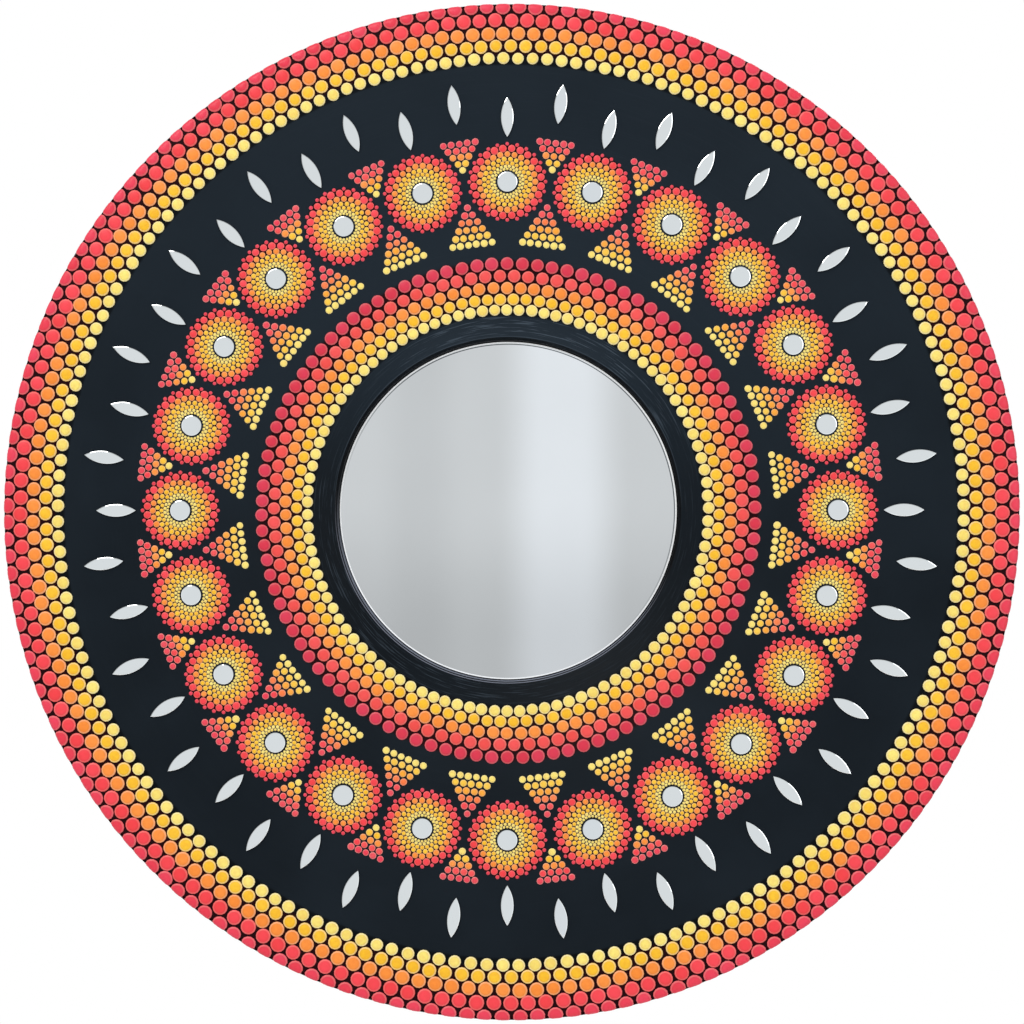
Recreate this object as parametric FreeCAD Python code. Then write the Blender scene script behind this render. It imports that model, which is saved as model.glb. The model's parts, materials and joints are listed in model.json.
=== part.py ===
import FreeCAD, Part
import math
import os

# A round hand-painted wall mirror. The origin is the centre of the back panel's outer face, which
# lies against the wall. +X is right, +Z is up and the painted face looks along -Y. Millimetres.
# The board is as wide as the glass and all that is painted and set round it, 610 in all.

# Ring board, painted black
board_thickness = 12.0
board_edge_bevel = 2.0
opening_bevel = 1.2

# Mirror glass in the opening
glass_diameter = 203.2
glass_thickness = 4.0
glass_arris = 1.0
glass_side_gap = 0.8

# Foam mounting pads between the glass and the back panel
pad_thickness = 2.0
pad_size = 24.0
pad_edge_inset = 14.0
outer_pad_count = 4

# Back panel, screwed on behind the opening
panel_thickness = 6.0
panel_lap = 28.0
panel_screw_count = 6

# Wood screws
screw_shank = 3.5
screw_head = 7.0
screw_point = 3.0
screw_bite = 8.0
screw_hole_gap = 0.25
screw_pilot_gap = 0.05
screw_pilot_spare = 0.6
flat_head_sink = 0.2
pan_head_wall = 0.8
pan_head_height = 2.0
pan_head_crown_share = 0.6
screw_sides = 12

# Rows of paint dots round the opening, from its bevel outwards
ring_pale_setback = 16.8
ring_amber_step = 6.4
ring_orange_step = 6.8
ring_coral_step = 7.0
ring_crimson_step = 7.5
ring_pale_dot = 7.0
ring_crimson_dot = 7.6
ring_dot_count = 102

# Rows of paint dots round the rim, from the leaf-shaped mirrors outwards
rim_pale_dot = 7.5
rim_amber_step = 7.3
rim_orange_step = 7.7
rim_red_step = 7.9
rim_crimson_step = 8.3
rim_crimson_setback = 1.8
rim_dot_count = 187
edge_row_wrap = 3.6

# Form of the rows: their rise, the gap between them, and how many dots each straight stretch takes
dot_rise = 0.8
row_gap = 0.2
rim_dots_in_stretch = 3
ring_dots_in_stretch = 2

# Figured band: roundels of paint, as many as fit, each round a small mirror
roundel_radius = 24.0
roundel_setback = 21.5
roundel_least_gap = 3.5
roundel_rise = 0.5
roundel_sides = 12
small_mirror_diameter = 12.0
small_mirror_thickness = 1.2
small_mirror_paint_gap = 0.7
small_mirror_sides = 12

# Three-sided stacks of dots between the roundels
stack_ring_gap = 7.0
inner_stack_depth = 27.0
outer_stack_depth = 20.0
stack_rise = 0.5

# Leaf-shaped slips of mirror outside the roundels
leaf_length = 24.0
leaf_width = 7.5
leaf_thickness = 1.2
leaf_roundel_gap = 3.0
leaf_stagger = 9.5
leaf_rim_gap = 10.35
leaf_side_stretches = 4

# Strap hangers with D-rings on the back of the ring board
hanger_spread = 190.0
hanger_rise = 130.0
strap_sheet = 1.0
strap_width = 12.0
strap_knuckle_width = 10.0
strap_taper = 4.0
strap_fold_gap = 0.1
strap_bend_radius = 1.5
ring_wire = 2.5
ring_half_width = 9.5
ring_side_drop = 4.5
ring_corner_radius = 3.0
ring_butt_gap = 0.3
ring_wire_gap = 0.25
ring_rest_gap = 0.25
ring_head_gap = 0.8
ring_wire_sides = 8
ring_corner_stretches = 3
ring_bow_stretches = 9

# Levels along Y and radii that follow from the sizes above
seat_level = -panel_thickness
face_level = seat_level - board_thickness
glass_back_level = seat_level - pad_thickness
glass_face_level = glass_back_level - glass_thickness
glass_radius = glass_diameter / 2
opening_radius = glass_radius + glass_side_gap
panel_radius = opening_radius + panel_lap
screw_circle_radius = opening_radius + panel_lap / 2
shank_radius = screw_shank / 2
head_radius = screw_head / 2

ring_row_radii = [opening_radius + opening_bevel + ring_pale_setback]
for step in (ring_amber_step, ring_orange_step, ring_coral_step, ring_crimson_step):
    ring_row_radii.append(ring_row_radii[-1] + step)
ring_rows_outer_radius = ring_row_radii[-1] + ring_crimson_dot / 2
roundel_circle_radius = ring_rows_outer_radius + roundel_setback + roundel_radius
roundel_count = int(2 * math.pi * roundel_circle_radius / (2 * roundel_radius + roundel_least_gap))
first_leaf_radius = roundel_circle_radius + roundel_radius + leaf_roundel_gap
second_leaf_radius = first_leaf_radius + leaf_stagger
rim_row_radii = [second_leaf_radius + leaf_length + leaf_rim_gap + rim_pale_dot / 2]
for step in (rim_amber_step, rim_orange_step, rim_red_step, rim_crimson_step):
    rim_row_radii.append(rim_row_radii[-1] + step)
board_radius = rim_row_radii[-1] + rim_crimson_setback
edge_row_inner_radius = sum(rim_row_radii[-2:]) / 2

X_AXIS = FreeCAD.Vector(1, 0, 0)
Y_AXIS = FreeCAD.Vector(0, 1, 0)
ORIGIN = FreeCAD.Vector(0, 0, 0)
FULL_TURN = 360
HALF_TURN = 180
QUARTER_TURN = 90

first_screw_turn = HALF_TURN / panel_screw_count
first_pad_turn = HALF_TURN / outer_pad_count


def loop_of(points):
    """The closed run of straight edges through the points."""
    return Part.makePolygon(points + points[:1])


def turned(corners):
    """The round solid of a section of (distance from the Y axis, level along it) corners."""
    section = [FreeCAD.Vector(radius, level, 0) for radius, level in corners]
    return Part.Face(loop_of(section)).revolve(ORIGIN, Y_AXIS, FULL_TURN)


def faceted(corners, sides):
    """The same solid as turned() makes, but many-sided, with flat faces."""
    turns = [2 * math.pi * side / sides for side in range(sides)]
    faces = []
    for (near, near_level), (far, far_level) in zip(corners, corners[1:] + corners[:1]):
        for start, end in zip(turns, turns[1:] + turns[:1]):
            patch = []
            for radius, level, turn in (
                (near, near_level, start),
                (near, near_level, end),
                (far, far_level, end),
                (far, far_level, start),
            ):
                place = FreeCAD.Vector(radius * math.cos(turn), level, radius * math.sin(turn))
                if place not in patch:
                    patch.append(place)
            if len(patch) > 2:
                faces.append(Part.Face(loop_of(patch)))
    solid = Part.makeSolid(Part.makeShell(faces))
    if solid.Volume < 0:
        solid.reverse()
    return solid.removeSplitter()


def round_the_axis(shape, count, first_degrees):
    """Copies of a shape at even angles round the Y axis."""
    copies = []
    for index in range(count):
        copy = shape.copy()
        copy.rotate(ORIGIN, Y_AXIS, first_degrees + FULL_TURN * index / count)
        copies.append(copy)
    return copies


def moved(shape, x, y, z):
    copy = shape.copy()
    copy.translate(FreeCAD.Vector(x, y, z))
    return copy


def save(name, shape):
    shape.exportStep("parts/" + name + ".step")


# Ring board, with its opening, its bevelled edges and the pilot holes in its back


def pilot_hole():
    radius = shank_radius + screw_pilot_gap
    end = seat_level - screw_bite - screw_pilot_spare
    return faceted([(0, seat_level), (radius, seat_level), (radius, end), (0, end)], screw_sides)


def ring_board():
    board = turned(
        [
            (opening_radius, seat_level),
            (opening_radius, face_level + opening_bevel),
            (opening_radius + opening_bevel, face_level),
            (board_radius - board_edge_bevel, face_level),
            (board_radius, face_level + board_edge_bevel),
            (board_radius, seat_level),
        ]
    )
    first = moved(pilot_hole(), screw_circle_radius, 0, 0)
    pilots = round_the_axis(first, panel_screw_count, first_screw_turn)
    for side in (-1, 1):
        pilots.append(moved(pilot_hole(), side * hanger_spread, 0, hanger_rise))
    return board.cut(Part.makeCompound(pilots))


# Back panel and its countersunk screws


def flat_head_section(gap, sink):
    """The section of a countersunk wood screw, or of its hole where the gap is above zero."""
    neck = -sink - (head_radius - shank_radius)
    tip = seat_level - screw_bite
    return [
        (0, -sink),
        (head_radius + gap, -sink),
        (shank_radius + gap, neck),
        (shank_radius + gap, tip + screw_point),
        (0, tip),
    ]


def round_the_panel(section):
    """One many-sided solid of the section at each screw's place in the panel."""
    first = moved(faceted(section, screw_sides), screw_circle_radius, 0, 0)
    return Part.makeCompound(round_the_axis(first, panel_screw_count, first_screw_turn))


def back_panel():
    disc = turned([(0, 0), (panel_radius, 0), (panel_radius, seat_level), (0, seat_level)])
    return disc.cut(round_the_panel(flat_head_section(screw_hole_gap, 0)))


def panel_screws():
    return round_the_panel(flat_head_section(0, flat_head_sink))


# Mirror glass with a ground edge, on its foam pads


def glass():
    return turned(
        [
            (0, glass_back_level),
            (glass_radius, glass_back_level),
            (glass_radius, glass_face_level + glass_arris),
            (glass_radius - glass_arris, glass_face_level),
            (0, glass_face_level),
        ]
    )


def glass_pads():
    corner = FreeCAD.Vector(-pad_size / 2, glass_back_level, -pad_size / 2)
    pad = Part.makeBox(pad_size, pad_thickness, pad_size, corner)
    reach = glass_radius - pad_edge_inset - pad_size / 2
    outer_pads = round_the_axis(moved(pad, reach, 0, 0), outer_pad_count, first_pad_turn)
    return Part.makeCompound([pad] + outer_pads)


# Rows of paint. Each row of dots is one low ridge, from halfway to the row before it to halfway to
# the row after it, in straight stretches of a few dots.


def ridge(inner, outer, sides, rise):
    middle = (inner + outer) / 2
    return faceted([(inner, face_level), (middle, face_level - rise), (outer, face_level)], sides)


def save_rows(names, radii, first_dot, last_edge, sides):
    edges = [radii[0] - first_dot / 2]
    edges += [(near + far) / 2 for near, far in zip(radii, radii[1:])]
    edges.append(last_edge)
    for name, inner, outer in zip(names, edges, edges[1:]):
        save(name, ridge(inner, outer - row_gap, sides, dot_rise))


def rim_rows():
    names = ["rim_dots_" + colour for colour in ("pale", "amber", "orange", "red")]
    sides = rim_dot_count // rim_dots_in_stretch
    save_rows(names, rim_row_radii[:-1], rim_pale_dot, edge_row_inner_radius, sides)


def edge_row():
    """The outermost row of dots, which wraps over the bevel and down the side of the board."""
    return turned(
        [
            (edge_row_inner_radius, face_level),
            (board_radius - board_edge_bevel, face_level),
            (board_radius, face_level + board_edge_bevel),
            (board_radius, face_level + edge_row_wrap),
            (board_radius + dot_rise / 2, face_level - dot_rise / 2),
        ]
    )


def ring_rows():
    names = ["ring_dots_" + colour for colour in ("pale", "amber", "orange", "coral", "crimson")]
    sides = ring_dot_count // ring_dots_in_stretch
    save_rows(names, ring_row_radii, ring_pale_dot, ring_rows_outer_radius, sides)


# Figured band: roundels with a small round mirror each, stacks of dots between them, and
# leaf-shaped slips of mirror

between_roundels = HALF_TURN / roundel_count


def roundels():
    hole = small_mirror_diameter / 2 + small_mirror_paint_gap
    mound = moved(ridge(hole, roundel_radius, roundel_sides, roundel_rise), roundel_circle_radius, 0, 0)
    return Part.makeCompound(round_the_axis(mound, roundel_count, 0))


def round_mirrors():
    radius = small_mirror_diameter / 2
    front = face_level - small_mirror_thickness
    section = [(0, face_level), (radius, face_level), (radius, front), (0, front)]
    disc = faceted(section, small_mirror_sides)
    return Part.makeCompound(round_the_axis(moved(disc, roundel_circle_radius, 0, 0), roundel_count, 0))


def stacks(base_radius, tip_radius):
    """Low mounds on an even triangle, one between each two roundels."""
    half_base = abs(tip_radius - base_radius) * math.tan(math.pi / 6)
    left, right = (FreeCAD.Vector(base_radius, face_level, side * half_base) for side in (-1, 1))
    corners = [left, right, FreeCAD.Vector(tip_radius, face_level, 0)]
    middle = sum(corners, FreeCAD.Vector()) / len(corners)
    crest = middle - Y_AXIS * stack_rise
    faces = [Part.Face(loop_of(corners))]
    for near, far in zip(corners, corners[1:] + corners[:1]):
        faces.append(Part.Face(loop_of([near, far, crest])))
    mound = Part.makeSolid(Part.makeShell(faces))
    if mound.Volume < 0:
        mound.reverse()
    return Part.makeCompound(round_the_axis(mound, roundel_count, between_roundels))


def leaf(start_radius):
    """A slip of mirror whose two sides are arcs that meet in points, lying along a radius."""
    half_width = leaf_width / 2
    half_length = leaf_length / 2
    side_radius = (half_length ** 2 + half_width ** 2) / leaf_width
    half_turn = math.asin(half_length / side_radius)
    points = []
    for side in (1, -1):
        for stretch in range(leaf_side_stretches):
            turn = side * half_turn * (2 * stretch / leaf_side_stretches - 1)
            along = side_radius * math.sin(turn)
            across = side * (side_radius * math.cos(turn) - side_radius + half_width)
            points.append(FreeCAD.Vector(start_radius + half_length + along, face_level, across))
    return Part.Face(loop_of(points)).extrude(Y_AXIS * -leaf_thickness)


def leaf_mirrors(start_radius, first_degrees):
    return Part.makeCompound(round_the_axis(leaf(start_radius), roundel_count, first_degrees))


# Strap hangers. Each is a strip of sheet folded round the straight side of its D-ring, with both
# leaves pressed together and held by one screw. Drop is measured down from the ring's pivot, and
# lift is measured off the back of the board.

wire_radius = ring_wire / 2
fold_inner_radius = wire_radius + ring_wire_gap
pivot_lift = fold_inner_radius + strap_sheet
leaf_lift = 2 * strap_sheet + strap_fold_gap
ring_reach = ring_side_drop + ring_half_width
screw_drop = ring_reach + wire_radius + head_radius + ring_head_gap
strap_half = strap_width / 2
crossing_drop = ring_side_drop + math.sqrt(ring_half_width ** 2 - strap_half ** 2)
rest_tilt = math.asin((leaf_lift + ring_rest_gap + wire_radius - pivot_lift) / crossing_drop)


def hung(drop, lift):
    """A point of the strap's side view."""
    return FreeCAD.Vector(0, seat_level + lift, -drop)


def line(start, end):
    return Part.makeLine(start, end)


def bend(centre, radius, first_degrees, last_degrees):
    """An arc of the side view round a (drop, lift) centre, from the strap's run towards the wall."""
    drop, lift = centre
    places = []
    for degrees in (first_degrees, (first_degrees + last_degrees) / 2, last_degrees):
        turn = math.radians(degrees)
        places.append(hung(drop + radius * math.cos(turn), lift + radius * math.sin(turn)))
    return Part.Arc(*places).toShape()


def strap_section():
    """The folded strip from the side: flat leaf, knuckle, return bend and the leaf pressed on it."""
    end = screw_drop + strap_half
    inner_leaf = strap_sheet + strap_fold_gap
    bend_lift = leaf_lift + strap_bend_radius
    between = pivot_lift + strap_bend_radius
    bend_drop = math.sqrt(between ** 2 - (bend_lift - pivot_lift) ** 2)
    meet = math.degrees(math.asin((bend_lift - pivot_lift) / between))
    pivot = (0, pivot_lift)
    turn_back = (bend_drop, bend_lift)
    return [
        line(hung(end, 0), hung(0, 0)),
        bend(pivot, pivot_lift, -QUARTER_TURN, meet - FULL_TURN),
        bend(turn_back, strap_bend_radius, meet - HALF_TURN, -QUARTER_TURN),
        line(hung(bend_drop, leaf_lift), hung(end, leaf_lift)),
        line(hung(end, leaf_lift), hung(end, inner_leaf)),
        line(hung(end, inner_leaf), hung(bend_drop, inner_leaf)),
        bend(turn_back, strap_bend_radius + strap_sheet, -QUARTER_TURN, meet - HALF_TURN),
        bend(pivot, fold_inner_radius, meet - FULL_TURN, -QUARTER_TURN),
        line(hung(0, strap_sheet), hung(end, strap_sheet)),
        line(hung(end, strap_sheet), hung(end, 0)),
    ]


def strap_plan():
    """The strap seen from the back: narrow at the knuckle, wider below it, round at the screw."""
    knuckle_half = strap_knuckle_width / 2
    taper_start = -pivot_lift
    taper_end = taper_start - strap_taper
    right = [
        (knuckle_half, pivot_lift),
        (knuckle_half, taper_start),
        (strap_half, taper_end),
        (strap_half, -screw_drop),
    ]
    left = [(-x, z) for x, z in reversed(right)]
    points = [FreeCAD.Vector(x, seat_level, z) for x, z in left + right]
    lowest = FreeCAD.Vector(0, seat_level, -screw_drop - strap_half)
    round_end = Part.Arc(points[-1], lowest, points[0]).toShape()
    return Part.Wire([line(near, far) for near, far in zip(points, points[1:])] + [round_end])


def hanger_strap():
    folded = Part.Face(Part.Wire(strap_section())).extrude(X_AXIS * strap_width)
    cutter = Part.Face(strap_plan()).extrude(Y_AXIS * (2 * pivot_lift))
    radius = shank_radius + screw_hole_gap
    top = seat_level + leaf_lift
    hole = faceted([(0, seat_level), (radius, seat_level), (radius, top), (0, top)], screw_sides)
    strap = moved(folded, -strap_half, 0, 0).common(cutter)
    return strap.cut(moved(hole, 0, 0, -screw_drop))


def hanger_ring():
    """Wire bent to a D, with its ends butted inside the strap's knuckle, lying back on the strap."""
    right = [(ring_butt_gap / 2, 0)]
    corner_centre = ring_half_width - ring_corner_radius
    for stretch in range(ring_corner_stretches + 1):
        turn = math.pi / 2 * stretch / ring_corner_stretches
        out = ring_corner_radius * math.sin(turn)
        right.append((corner_centre + out, ring_corner_radius * (1 - math.cos(turn))))
    bow = []
    for stretch in range(ring_bow_stretches + 1):
        turn = math.pi * stretch / ring_bow_stretches
        down = ring_half_width * math.sin(turn)
        bow.append((ring_half_width * math.cos(turn), ring_side_drop + down))
    left = [(-x, drop) for x, drop in reversed(right)]
    path = [FreeCAD.Vector(x, seat_level + pivot_lift, -drop) for x, drop in right + bow + left]
    section = []
    for side in range(ring_wire_sides):
        turn = 2 * math.pi * (side + 1 / 2) / ring_wire_sides
        around = FreeCAD.Vector(0, wire_radius * math.cos(turn), wire_radius * math.sin(turn))
        section.append(path[0] + around)
    ring = Part.makePolygon(path).makePipeShell([loop_of(section)], True, False, 1)
    ring.rotate(hung(0, pivot_lift), X_AXIS, math.degrees(rest_tilt))
    return ring


def pan_head_screw():
    """A pan-head wood screw through the strap."""
    under = seat_level + leaf_lift
    tip = seat_level - screw_bite
    section = [
        (0, tip),
        (shank_radius, tip + screw_point),
        (shank_radius, under),
        (head_radius, under),
        (head_radius, under + pan_head_wall),
        (head_radius * pan_head_crown_share, under + pan_head_height),
        (0, under + pan_head_height),
    ]
    return faceted(section, screw_sides)


def hangers():
    pivot_height = hanger_rise + screw_drop
    screws = []
    for name, side in (("left", -1), ("right", 1)):
        save("hanger_strap_" + name, moved(hanger_strap(), side * hanger_spread, 0, pivot_height))
        save("hanger_ring_" + name, moved(hanger_ring(), side * hanger_spread, 0, pivot_height))
        screws.append(moved(pan_head_screw(), side * hanger_spread, 0, hanger_rise))
    save("hanger_screws", Part.makeCompound(screws))


def main():
    os.makedirs("parts", exist_ok=True)
    save("ring_board", ring_board())
    save("back_panel", back_panel())
    save("panel_screws", panel_screws())
    save("glass", glass())
    save("glass_pads", glass_pads())
    rim_rows()
    save("rim_dots_crimson", edge_row())
    ring_rows()
    save("roundels", roundels())
    save("round_mirrors", round_mirrors())
    inner_base = ring_rows_outer_radius + stack_ring_gap
    save("inner_stacks", stacks(inner_base, inner_base + inner_stack_depth))
    save("outer_stacks", stacks(first_leaf_radius, first_leaf_radius - outer_stack_depth))
    save("leaf_mirrors_inner", leaf_mirrors(first_leaf_radius, 0))
    save("leaf_mirrors_outer", leaf_mirrors(second_leaf_radius, between_roundels))
    hangers()


main()
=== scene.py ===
import json
from math import asin, atan2, cos, degrees, hypot, pi, radians, sin, sqrt

import bmesh
import bpy
from bpy.props import FloatProperty, FloatVectorProperty, IntProperty, IntVectorProperty, PointerProperty
from mathutils import Matrix, Vector


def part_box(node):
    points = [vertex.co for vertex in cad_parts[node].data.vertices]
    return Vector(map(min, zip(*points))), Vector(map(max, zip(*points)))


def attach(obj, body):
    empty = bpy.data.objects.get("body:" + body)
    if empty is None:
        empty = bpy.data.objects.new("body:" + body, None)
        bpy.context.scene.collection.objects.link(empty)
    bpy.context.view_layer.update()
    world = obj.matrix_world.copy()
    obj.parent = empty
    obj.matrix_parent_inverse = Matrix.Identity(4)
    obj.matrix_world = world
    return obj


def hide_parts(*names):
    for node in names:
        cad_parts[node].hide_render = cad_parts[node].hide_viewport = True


bl_info = {
    "name": "Hand-painted Mirror",
    "version": (1, 0, 0),
    "blender": (4, 5, 0),
    "location": "View3D > Sidebar > Mirror",
    "description": "Builds a round wall mirror with rows of paint dots, small mirrors and strap hangers",
    "category": "Object",
}

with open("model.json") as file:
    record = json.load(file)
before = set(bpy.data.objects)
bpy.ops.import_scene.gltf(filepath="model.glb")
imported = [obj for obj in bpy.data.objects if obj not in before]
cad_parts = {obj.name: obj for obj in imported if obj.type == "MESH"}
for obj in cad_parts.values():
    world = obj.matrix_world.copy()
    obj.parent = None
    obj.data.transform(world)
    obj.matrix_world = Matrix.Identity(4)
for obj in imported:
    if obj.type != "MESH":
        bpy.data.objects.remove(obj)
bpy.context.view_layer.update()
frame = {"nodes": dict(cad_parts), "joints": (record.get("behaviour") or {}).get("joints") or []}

# Levels along Y and radii that the frame gives, in metres. The painted face looks along -Y.
BOARD_LOW, BOARD_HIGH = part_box("ring_board")
GLASS_LOW, GLASS_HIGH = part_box("glass")
FACE = BOARD_LOW.y
SEAT = BOARD_HIGH.y
BOARD_RADIUS = BOARD_HIGH.x
GLASS_RADIUS = GLASS_HIGH.x
TURN = 2 * pi
MM = 0.001
BLACK = (0.0, 0.0, 0.0, 1.0)
WHITE = (1.0, 1.0, 1.0, 1.0)


def length(name, description, millimetres):
    metres = millimetres * MM
    return FloatProperty(name=name, description=description, default=metres, precision=5, unit="LENGTH")


def lengths(name, description, *millimetres):
    metres = [part * MM for part in millimetres]
    return FloatVectorProperty(
        name=name, description=description, default=metres, size=len(metres), precision=5, unit="LENGTH"
    )


def share(name, description, value):
    return FloatProperty(name=name, description=description, default=value, min=0, max=1, subtype="FACTOR")


def count(name, description, number):
    return IntProperty(name=name, description=description, default=number, min=1)


def counts(name, description, *numbers):
    return IntVectorProperty(name=name, description=description, default=numbers, size=len(numbers), min=1)


def angle(name, description, in_degrees):
    return FloatProperty(name=name, description=description, default=radians(in_degrees), subtype="ANGLE")


def colour(name, description, *rgb):
    return FloatVectorProperty(
        name=name, description=description, default=rgb, size=3, min=0, max=1, subtype="COLOR"
    )


# Settings, with lengths given in millimetres and angles in degrees


class BoardSettings(bpy.types.PropertyGroup):
    edge_round: length("Edge rounding", "Radius of the painted board's outer front edge", 2.0)
    back_round: length("Back edge rounding", "Radius of the board's outer back edge", 0.6)
    opening_gap: length("Glass gap", "Gap between the glass and the opening", 0.8)
    opening_bevel: length("Opening bevel", "Width and depth of the bevel round the opening", 1.6)
    groove: length("Turned groove", "Depth of the fine grooves left in the bevel", 0.09)
    ground: colour("Ground", "Blue-black paint of the front", 0.0079, 0.0122, 0.0172)
    # Painted light: the colour of the painted glint on the brush strokes, the painted sheen at the top of the
    # opening and the painted highlight on the bevel's outer edge
    stroke: colour("Strokes", "Brush strokes in the ground round the opening", 0.045, 0.060, 0.078)
    # Painted light: the colour painted on the bevel's ridges low down, where light from above falls on them
    ridge_light: colour("Lip", "Worn ridges of the turned bevel", 0.150, 0.165, 0.205)
    # Partly painted light: dark red underpaint between the dots, which also stands in for red light bounced
    # between them
    underpaint: colour("Underpaint", "Dark red that shows between the dots", 0.0150, 0.0012, 0.0022)
    back: colour("Back", "Black paint of the back", 0.011, 0.011, 0.012)


class DotSettings(bpy.types.PropertyGroup):
    ring_radii: lengths("Inner rows", "Radii of the rows round the glass", 120.4, 126.8, 133.6, 140.6, 148.1)
    ring_sizes: lengths("Inner dot sizes", "Dot diameters of the inner rows", 6.9, 7.1, 7.5, 7.8, 8.0)
    ring_count: count("Inner row dots", "Dots in each row round the opening", 101)
    ring_drift: share("Inner drift", "How much closer the inner rows' dots lie on one side", 0.02)
    ring_drift_turn: angle("Inner drift side", "Where the inner rows' dots lie closest", 150)
    rim_radii: lengths("Outer rows", "Radii of the rows round the rim", 272.0, 279.3, 287.0, 294.9, 303.2)
    rim_sizes: lengths("Outer dot sizes", "Dot diameters of the outer rows", 7.6, 8.2, 8.7, 8.9, 9.3)
    rim_count: count("Outer row dots", "Dots in each row round the rim", 186)
    rim_drift: share("Outer drift", "How much closer the outer rows' dots lie on one side", 0.045)
    rim_drift_turn: angle("Outer drift side", "Where the outer rows' dots lie closest", 80)
    rise: length("Dot rise", "Height of a dot over the face", 0.95)
    size_spread: share("Size spread", "How much the dots differ in size", 0.042)
    place_spread: share("Place spread", "How far the dots stray, as a share of their size", 0.032)
    pale: colour("Pale yellow", "Paint of the palest dots", 0.942, 0.755, 0.168)
    amber: colour("Amber", "Paint of the amber dots", 0.947, 0.535, 0.014)
    orange: colour("Orange", "Paint of the orange dots", 0.947, 0.278, 0.031)
    red: colour("Red", "Paint of the outer red dots", 0.90, 0.047, 0.065)
    coral: colour("Coral", "Paint of the inner red dots", 0.872, 0.071, 0.067)
    crimson: colour("Crimson", "Paint of the outer crimson dots", 0.81, 0.037, 0.081)
    wine: colour("Wine", "Paint of the inner crimson dots", 0.685, 0.025, 0.070)


class BandSettings(bpy.types.PropertyGroup):
    roundels: count("Roundels", "Number of roundels in the figured band", 24)
    circle_radius: length("Roundel circle", "Radius of the circle of roundels", 197.4)
    ring_radii: lengths("Roundel rings", "Radii of the rings", 7.75, 9.4, 11.4, 13.85, 16.8, 20.3, 22.9)
    ring_sizes: lengths("Roundel dot sizes", "Dot diameters of the rings", 1.8, 2.1, 2.6, 3.1, 3.8, 4.6, 2.4)
    ring_count: count("Roundel ring dots", "Dots in each ring of a roundel", 24)
    rise: length("Dot rise", "Height of a small dot over the face", 0.5)
    stack_tips: lengths("Stack tips", "Radii of the tip dots of the inner and outer stacks", 183.4, 206.2)
    stack_steps: lengths("Stack steps", "Distances between the rows of the stacks, outwards", -4.48, 4.03)
    stack_rows: counts("Stack rows", "Rows of dots in the inner and outer stacks", 6, 5)
    stack_pitch: length("Stack pitch", "Distance between the dots of a stack's row", 4.8)
    stack_dot: length("Stack dot", "Dot diameter in a stack", 4.3)


class MirrorSettings(bpy.types.PropertyGroup):
    round_diameter: length("Round mirror", "Diameter of the small round mirrors", 12.0)
    thickness: length("Mirror thickness", "Thickness of the small mirrors", 1.2)
    bevel: length("Mirror bevel", "Width of the small mirrors' bevel", 0.32)
    bevel_depth: length("Mirror bevel depth", "How far the small mirrors' bevel falls back", 0.085)
    leaf_length: length("Leaf length", "Length of the leaf-shaped mirrors", 24.0)
    leaf_width: length("Leaf width", "Width of the leaf-shaped mirrors", 7.5)
    inner_leaf_start: length("Inner leaves", "Radius where the inner leaves start", 224.4)
    outer_leaf_start: length("Outer leaves", "Radius where the outer leaves start", 233.9)
    arris: length("Ground edge", "Width of the ground edge of the glass", 0.8)
    arris_depth: length("Ground edge depth", "How far the ground edge falls back", 0.26)
    silver: colour("Silver", "Tint of the silvered glass", 0.86, 0.875, 0.885)
    small_silver: colour("Small silver", "Tint of the small mirrors", 0.90, 0.93, 0.94)


class HangerSettings(bpy.types.PropertyGroup):
    sheet: length("Strap sheet", "Thickness of the strap's sheet", 1.0)
    strap_width: length("Strap width", "Width of the strap at its screw", 12.0)
    knuckle_width: length("Knuckle width", "Width of the strap round the ring", 10.0)
    taper: length("Strap taper", "Length over which the strap widens", 4.0)
    fold_gap: length("Fold gap", "Gap between the strap's two leaves", 0.1)
    bend_radius: length("Bend radius", "Inside radius of the strap's return bend", 1.5)
    wire: length("Ring wire", "Diameter of the ring's wire", 2.5)
    wire_gap: length("Wire gap", "Clearance of the wire in its knuckle", 0.25)
    ring_half_width: length("Ring half width", "Half the width of the D-ring, to the wire's middle", 9.5)
    ring_side_drop: length("Ring side drop", "Straight length of the D-ring's sides", 4.5)
    ring_corner: length("Ring corner", "Corner radius of the D-ring", 3.0)
    screw_head: length("Screw head", "Diameter of the screw heads", 7.0)
    screw_shank: length("Screw shank", "Diameter of the screw shanks", 3.5)
    recess: length("Cross recess", "Width of the cross recess in a screw head", 3.9)
    steel: colour("Nickel", "Tint of the nickel-plated hangers", 0.66, 0.64, 0.61)
    zinc: colour("Zinc", "Tint of the zinc-plated screws", 0.62, 0.60, 0.55)


class StudioSettings(bpy.types.PropertyGroup):
    distance: length("Camera distance", "Distance from the painted face to the camera", 1500)
    yaw: angle("Camera yaw", "How far the camera stands to the right of the front", 2.5)
    pitch: angle("Camera pitch", "How far the camera stands below the middle", 1.0)
    view_width: length("View width", "Width that the picture takes in at the mirror", 614.2)
    shift_x: FloatProperty(name="Shift across", description="Lens shift across the picture", default=0.00456)
    shift_y: FloatProperty(name="Shift up", description="Lens shift up the picture", default=-0.00176)
    floor_drop: length("Floor", "How far the floor lies under the mirror's middle", 500)
    floor_radius: length("Floor radius", "Radius of the round floor", 1000)
    screen_distance: length("Screen distance", "How far the grey screen stands before the mirror", 3200)


SETTINGS = {
    "mirror_board": BoardSettings,
    "mirror_dots": DotSettings,
    "mirror_band": BandSettings,
    "mirror_mirrors": MirrorSettings,
    "mirror_hangers": HangerSettings,
    "mirror_studio": StudioSettings,
}


# Nodes


def arithmetic(operation):
    """The two methods of an operation, for an output on its left and for one on its right."""
    return (
        lambda self, other: maths(operation, self, other),
        lambda self, other: maths(operation, other, self),
    )


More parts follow.
